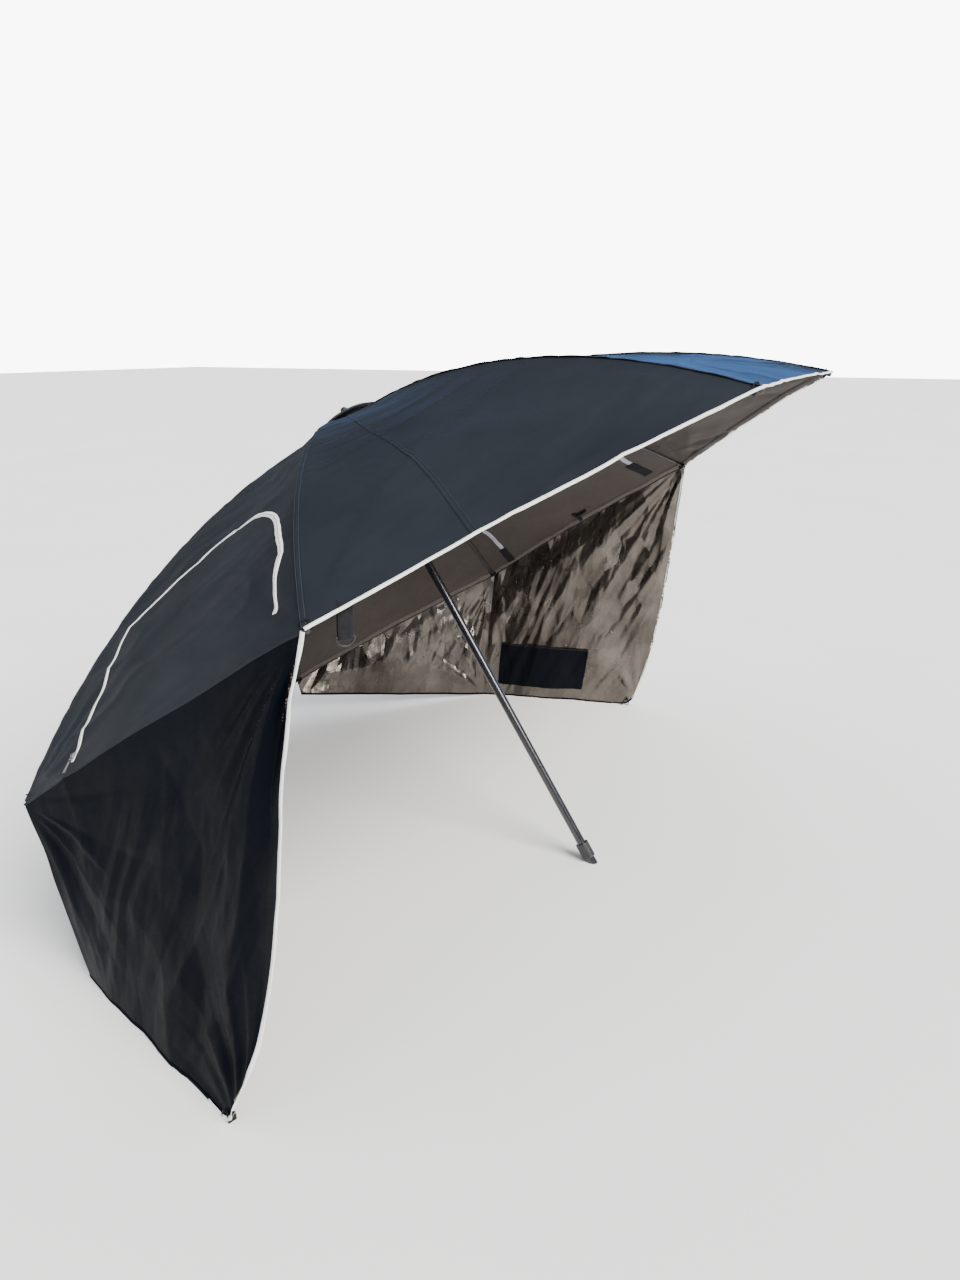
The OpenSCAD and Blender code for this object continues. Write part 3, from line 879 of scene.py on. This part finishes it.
def curtains():
    for k in CURTAINS:
        s = np.linspace(0, 1, 180)
        v = np.linspace(0, 1, 160 if k in FRONT_CURTAINS else 110)
        points = curtain_point(k, s[None, :], v[:, None])
        cloth = shell(f"curtain_cloth_{k}", points, CLOTH, curtain_outside, curtain_inside)
        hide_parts(f"curtain_{k}")
        hang(cloth, k)
        plain = curtain_point(k, s[None, :], v[:, None], plain=True)
        line = np.linspace(0, 1, 140)
        bottom = curtain_point(k, line, np.full_like(line, 0.995))
        binding = sweep(f"curtain_hem_{k}", bottom, curtain_normals(k, line, np.full_like(line, 0.98)),
                        flat_section(width=0.008, thickness=0.0026, low=-0.0012), [curtain_outside])
        hang(binding, k)
        if k not in FRONT_CURTAINS:
            continue
        edge_s, last_s = 0.004, 0.16
        edge = curtain_point(k, np.full_like(line, edge_s), line)
        around = np.linspace(edge_s, last_s, 24)[1:]
        turn = curtain_point(k, around, np.full_like(around, 0.996))
        path = np.concatenate([edge[:-1], turn])
        normal = curtain_normals(k, np.concatenate([np.full_like(edge[:-1, 0], 0.01), around]),
                                 np.concatenate([line[:-1], np.full_like(around, 0.99)]))
        piping = sweep(f"curtain_piping_{k}", path, normal,
                       flat_section(width=0.0088, thickness=0.0030, low=-0.0008), [white_tape])
        hang(piping, k)


def pocket():
    """A black pocket sewn to the inside of the far curtain, with a bound mouth."""
    k, cols, rows = 2, 60, 34
    gap, fullness = 0.004, 0.007
    last = POCKET_START + POCKET_WIDTH / float(np.linalg.norm(foot(3) - foot(2)))
    s = np.linspace(POCKET_START, last, cols)
    z = np.linspace(POCKET_TOP, POCKET_BASE, rows)
    high = (1 - s) * tip(2)[2] + s * tip(3)[2]
    v = 1 - z[:, None] / high[None, :]
    bag = fullness * np.sin(np.pi * np.linspace(0, 1, cols))[None, :] * np.linspace(0.4, 1.0, rows)[:, None]
    points = curtain_point(k, s[None, :], v, -(gap + bag))
    cloth = shell("pocket_cloth", points, 0.0012, black_cloth, black_cloth)
    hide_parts("pocket")
    hang(cloth, k)
    binding = sweep("pocket_binding", points[0], curtain_normals(k, s, v[0]),
                    flat_section(width=0.012, thickness=0.0022, low=-0.0011), [black_webbing])
    hang(binding, k)


# ---------- small hardware
def crown_details():
    """A webbing washer under the crown cap."""
    hub = np.array(JOINTS["canopy_fold"]["pos_m"])
    centre = np.dot(hub, POLE) * POLE + 0.0145 * POLE
    radius, count = 0.060, 60
    ring = [centre + radius * (math.cos(a) * U + math.sin(a) * Y)
            for a in np.linspace(0, 2 * math.pi, count + 1)[:-1]]
    washer = sweep("crown_washer", ring, [POLE] * count, flat_section(width=0.028, thickness=0.0018),
                   [black_webbing], closed=True)
    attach(washer, "mast")


def tip_ties():
    """A black loop of elastic over each rib tip, where the hem is tied down."""
    radius, drop, count = 0.0098, 0.008, 40
    for k in RIBS:
        centre = canopy_point(k, 0.985, 0.0)
        radial = tip(k) - canopy_point(k, 0.95, 0.0)
        radial /= np.linalg.norm(radial)
        side = sideways(k)
        up = np.cross(radial, side)
        middle = centre - drop * up * np.sign(np.dot(up, centre - INSIDE))
        ring = [middle + radius * math.cos(a) * side + radius * math.sin(a) * up
                for a in np.linspace(0, 2 * math.pi, count + 1)[:-1]]
        loop = sweep(f"tip_loop_{k}", ring, [radial] * count,
                     flat_section(width=0.008, thickness=0.0016, low=-0.0008), [black_webbing], closed=True)
        sew(loop, k)


def box_mesh(name, corners, chosen, bevel=0.0006):
    """A bevelled hexahedron from two rings of four corners."""
    faces = [(0, 1, 2, 3), (7, 6, 5, 4)] + [(n, n + 4, (n + 1) % 4 + 4, (n + 1) % 4) for n in range(4)]
    obj = add_mesh(name, corners, faces, [chosen])
    obj.data.polygons.foreach_set("use_smooth", [False] * 6)
    modifier = obj.modifiers.new("bevel", "BEVEL")
    modifier.width, modifier.segments = bevel, 3
    bpy.context.view_layer.objects.active = obj
    bpy.ops.object.modifier_apply(modifier="bevel")
    return obj


def zip_sliders():
    """A wedge-shaped slider with its bridge, and a ring pull that hangs from it."""
    for label, gore, w, rib in (("near", NEAR_WINDOW, NEAR_ZIP_W, 6), ("far", FAR_WINDOW, FAR_ZIP_W, 3)):
        here = canopy_point(gore, ZIP_T, w)
        down = canopy_point(gore, ZIP_T + 0.004, w) - canopy_point(gore, ZIP_T - 0.004, w)
        down /= np.linalg.norm(down)
        up = gore_normal(gore, np.float64(ZIP_T))
        side = np.cross(up, down)

        def at(x, y, z):
            return here + x * down + y * side + z * up

        def ring(x, half, low, high):
            return [at(x, -half, low), at(x, half, low), at(x, half, high), at(x, -half, high)]

        wide_end, narrow_end = ring(-0.007, 0.0048, 0.0018, 0.0056), ring(0.007, 0.0034, 0.0018, 0.0056)
        body = box_mesh("slider_body", wide_end + narrow_end, zinc)
        arch = [at(x, 0, 0.0050 + 0.0034 * math.sin(math.pi * (x + 0.005) / 0.010))
                for x in np.linspace(-0.005, 0.005, 14)]
        bridge = sweep("slider_bridge", arch, [up] * 14, flat_section(width=0.0026, thickness=0.0012), [zinc])
        slider = join(f"zip_slider_cloth_{label}", [body, bridge])
        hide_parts(f"zip_slider_{label}")
        gather(slider, f"zip_{label}")
        loop = [at(0.010 + 0.0065 * math.cos(a), 0.0052 * math.sin(a), 0.0066)
                for a in np.linspace(0, 2 * math.pi, 33)[:-1]]
        wire = sweep("pull_ring", loop, [up] * 32, round_section(0.0009, sides=8), [zinc], closed=True)
        top_end, free_end = ring(0.0150, 0.0034, 0.0057, 0.0073), ring(0.0400, 0.0058, 0.0057, 0.0073)
        tag = box_mesh("pull_tag", top_end + free_end, zinc)
        pull = join(f"zip_pull_cloth_{label}", [wire, tag])
        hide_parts(f"zip_pull_{label}")
        gather(pull, f"zip_pull_{label}")


def gather(obj, body):
    """Rides on its own body."""
    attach(obj, body)
    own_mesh(obj)


def guy_ring():
    """A folded webbing tab under the front hem, and the half-round ring in its end."""
    low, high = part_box("tie_ring")
    centre = np.array([(low[0] + high[0]) / 2, (low[1] + high[1]) / 2, high[2] - 0.002])
    hem = tip(8) - tip(7)
    hem[2] = 0
    hem /= np.linalg.norm(hem)
    across = np.cross(hem, (0, 0, 1))
    rise = np.array([0, 0, 1.0])
    radius, wire_r = 0.0156, 0.0021
    arc = [centre + radius * (math.cos(a) * hem - math.sin(a) * rise) for a in np.linspace(0, math.pi, 40)]
    bar = [centre + x * hem for x in np.linspace(-radius, radius, 16)[1:-1]]
    wire = sweep("tie_ring_wire", arc + bar, [across] * (len(arc) + len(bar)), round_section(wire_r, 12),
                 [ring_steel], closed=True)
    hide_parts("tie_ring")
    gather(wire, "tie_ring")
    top = canopy_point(7, 0.985, 0.08) - 0.002 * gore_normal(7, np.float64(0.985))
    turn = [centre + 0.0036 * (math.cos(a) * across + math.sin(a) * rise)
            for a in np.linspace(math.pi * 0.9, math.pi * 2.1, 12)]
    rear = through([top - 0.004 * across, centre - 0.0042 * across + 0.012 * rise], 12)
    front = through([centre + 0.0042 * across + 0.012 * rise, top + 0.004 * across], 12)
    points = np.concatenate([rear, turn, front])
    facing = np.cross(hem, np.gradient(points, axis=0))
    tab = sweep("ring_tab_webbing", points, facing,
                flat_section(width=0.025, thickness=0.0016, low=-0.0008), [black_webbing])
    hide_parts("ring_tab")
    sew(tab, 7)


def corner_loops():
    """A loop of webbing at each side curtain's front corner, for a ground peg."""
    for k, label in ((7, "near"), (2, "far")):
        low, high = (np.array(c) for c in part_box(f"corner_loop_{label}"))
        middle = (low + high) / 2
        along = foot(partner(k)) - foot(k)
        along /= np.linalg.norm(along)
        centre = np.array([middle[0], middle[1], 0.006])
        arc = [centre + 0.0125 * (math.cos(a) * along + 1.5 * math.sin(a) * np.array([0, 0, 1.0]))
               for a in np.linspace(-0.15, math.pi + 0.15, 36)]
        side = np.cross(along, (0, 0, 1))
        facing = [np.cross(side, b) for b in np.gradient(np.array(arc), axis=0)]
        loop = sweep(f"corner_loop_webbing_{label}", arc, facing,
                     flat_section(width=0.018, thickness=0.0018, low=-0.0009), [black_webbing])
        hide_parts(f"corner_loop_{label}")
        hang(loop, k)


# ---------- stage, lights and camera
def stage():
    bpy.ops.mesh.primitive_plane_add(size=80.0, location=(0, 0, 0))
    floor = bpy.context.object
    floor.name = "floor"
    made, tree, shader = material("floor_pale", (0.86, 0.86, 0.85), 0.9)
    patches = noise_texture(tree, place_vector(tree), scale=0.8, detail=3.0)
    shade(tree, shader, patches, (0.85, 0.85, 0.84), (0.88, 0.88, 0.87))
    floor.data.materials.append(made)


def aim(obj, back, place):
    """Stands a light or camera at a place with its back to a direction and its sides level."""
    side = np.cross((0, 0, 1), back)
    side /= np.linalg.norm(side)
    up = np.cross(back, side)
    rows = [[side[i], up[i], back[i], place[i]] for i in range(3)]
    obj.matrix_world = Matrix(rows + [[0, 0, 0, 1]])


def mirror_direction():
    """Where the camera sees the sky reflected in the front gore."""
    mirror_t = 0.86
    front, outside = canopy_point(8, mirror_t, 0.5), gore_normal(8, np.float64(mirror_t))
    view = front - CAMERA_PLACE
    view /= np.linalg.norm(view)
    return view - 2 * np.dot(view, outside) * outside


def lights():
    """A wide soft sun, an even pale surround, and a dim sky with a blue part for reflections."""
    world = bpy.data.worlds.new("studio")
    bpy.context.scene.world = world
    world.use_nodes = True
    tree = world.node_tree
    ambient = tree.nodes["Background"]
    ambient.inputs["Color"].default_value = (0.92, 0.95, 1.0, 1)
    ambient.inputs["Strength"].default_value = 1.25
    seen = node(tree, "ShaderNodeBackground", Color=(1, 1, 1, 1), Strength=9.0)
    towards = node(tree, "ShaderNodeVectorMath", operation="DOT_PRODUCT")
    tree.links.new(node(tree, "ShaderNodeTexCoord").outputs["Generated"], towards.inputs[0])
    towards.inputs[1].default_value = tuple(mirror_direction())
    spread = node(tree, "ShaderNodeMapRange")
    spread.inputs["From Min"].default_value, spread.inputs["From Max"].default_value = 0.87, 0.985
    tree.links.new(towards.outputs["Value"], spread.inputs["Value"])
    sky = node(tree, "ShaderNodeMixRGB")
    sky.inputs["Color1"].default_value = (0.26, 0.29, 0.35, 1)
    sky.inputs["Color2"].default_value = (0.9, 3.1, 8.5, 1)
    tree.links.new(spread.outputs["Result"], sky.inputs["Fac"])
    reflected = node(tree, "ShaderNodeBackground", Strength=1.0)
    tree.links.new(sky.outputs["Color"], reflected.inputs["Color"])
    ray = node(tree, "ShaderNodeLightPath")
    surround = ambient
    for kind, background in (("Is Glossy Ray", reflected), ("Is Camera Ray", seen)):
        mix = node(tree, "ShaderNodeMixShader")
        tree.links.new(ray.outputs[kind], mix.inputs["Fac"])
        tree.links.new(surround.outputs[0], mix.inputs[1])
        tree.links.new(background.outputs[0], mix.inputs[2])
        surround = mix
    tree.links.new(surround.outputs["Shader"], tree.nodes["World Output"].inputs["Surface"])
    light = bpy.data.lights.new("sun", "SUN")
    light.energy, light.angle, light.color = 7.0, 0.6, (1.0, 0.97, 0.93)
    obj = bpy.data.objects.new("sun", light)
    bpy.context.scene.collection.objects.link(obj)
    back = np.array([1.0, -0.35, 0.9])
    back /= np.linalg.norm(back)
    aim(obj, back, 3 * back)


def camera():
    back = np.array([0.437, -0.843, 0.314])
    back /= np.linalg.norm(back)
    data = bpy.data.cameras.new("camera")
    data.sensor_width = 36.0
    data.lens = 25.43
    obj = bpy.data.objects.new("camera", data)
    bpy.context.scene.collection.objects.link(obj)
    aim(obj, back, CAMERA_PLACE)
    bpy.context.scene.camera = obj


canopy_cloths()
rib_seams()
panel_seams()
hem_piping()
windows()
vent_hoods()
curtains()
pocket()
crown_details()
tip_ties()
zip_sliders()
guy_ring()
corner_loops()
stage()
lights()
camera()
